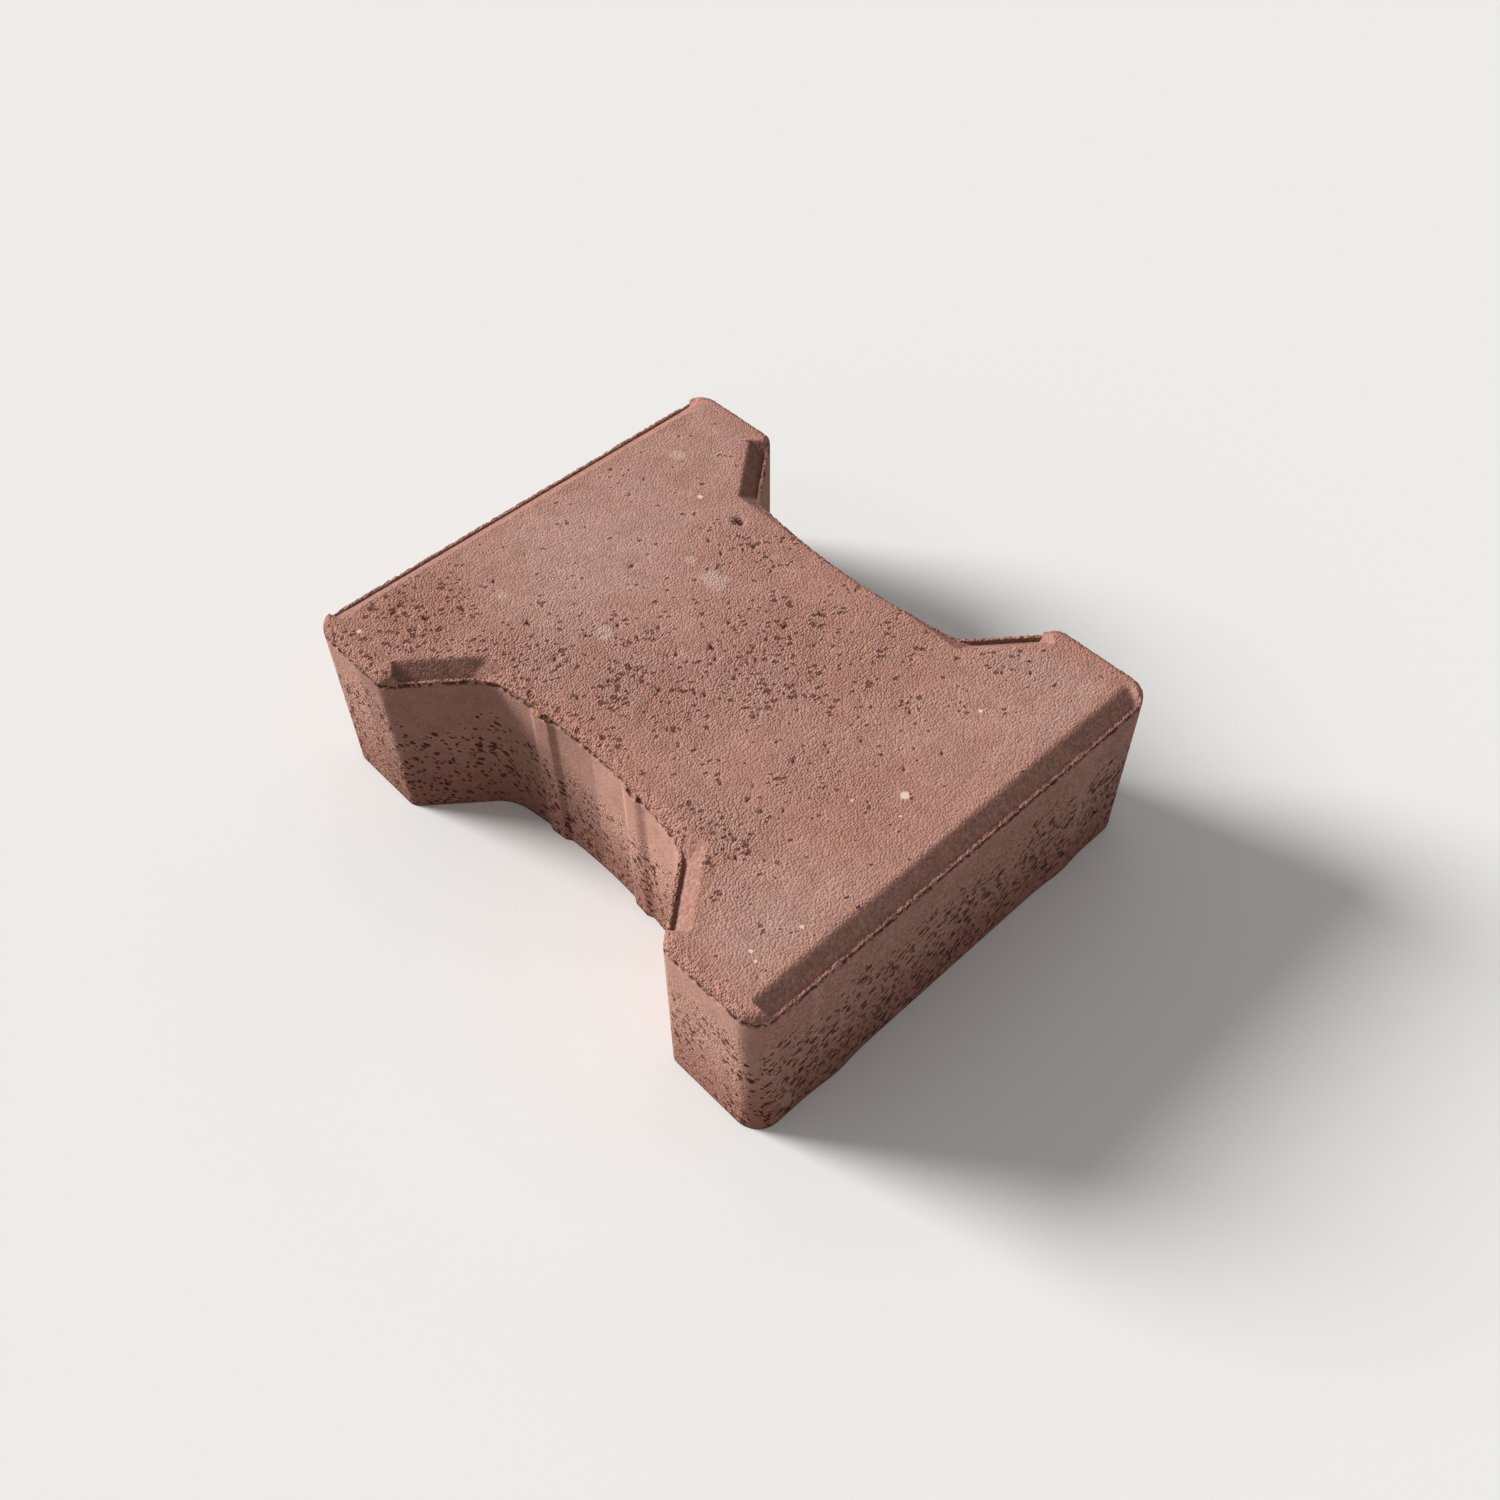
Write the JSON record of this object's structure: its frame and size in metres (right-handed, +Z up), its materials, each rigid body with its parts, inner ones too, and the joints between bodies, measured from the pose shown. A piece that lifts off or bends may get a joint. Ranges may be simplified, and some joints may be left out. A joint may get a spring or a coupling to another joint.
{
  "type": "concrete paving stone",
  "caption": "Interlocking concrete paving stone with an I-shaped plan, bevelled ends and slanted flange faces, and upright spacer ribs.",
  "frame": {"origin": "middle of the underside", "axes": "+X along the stone towards one bevelled end, +Y across it towards one flange side, +Z up out of the walked-on face"},
  "size_m": [0.1994, 0.162, 0.062],
  "materials": {
    "concrete": "rough, dull, pigmented red-brown concrete with sand grain and small pores"
  },
  "bodies": {
    "root": {"paving_stone": "concrete"}
  },
  "joints": []
}
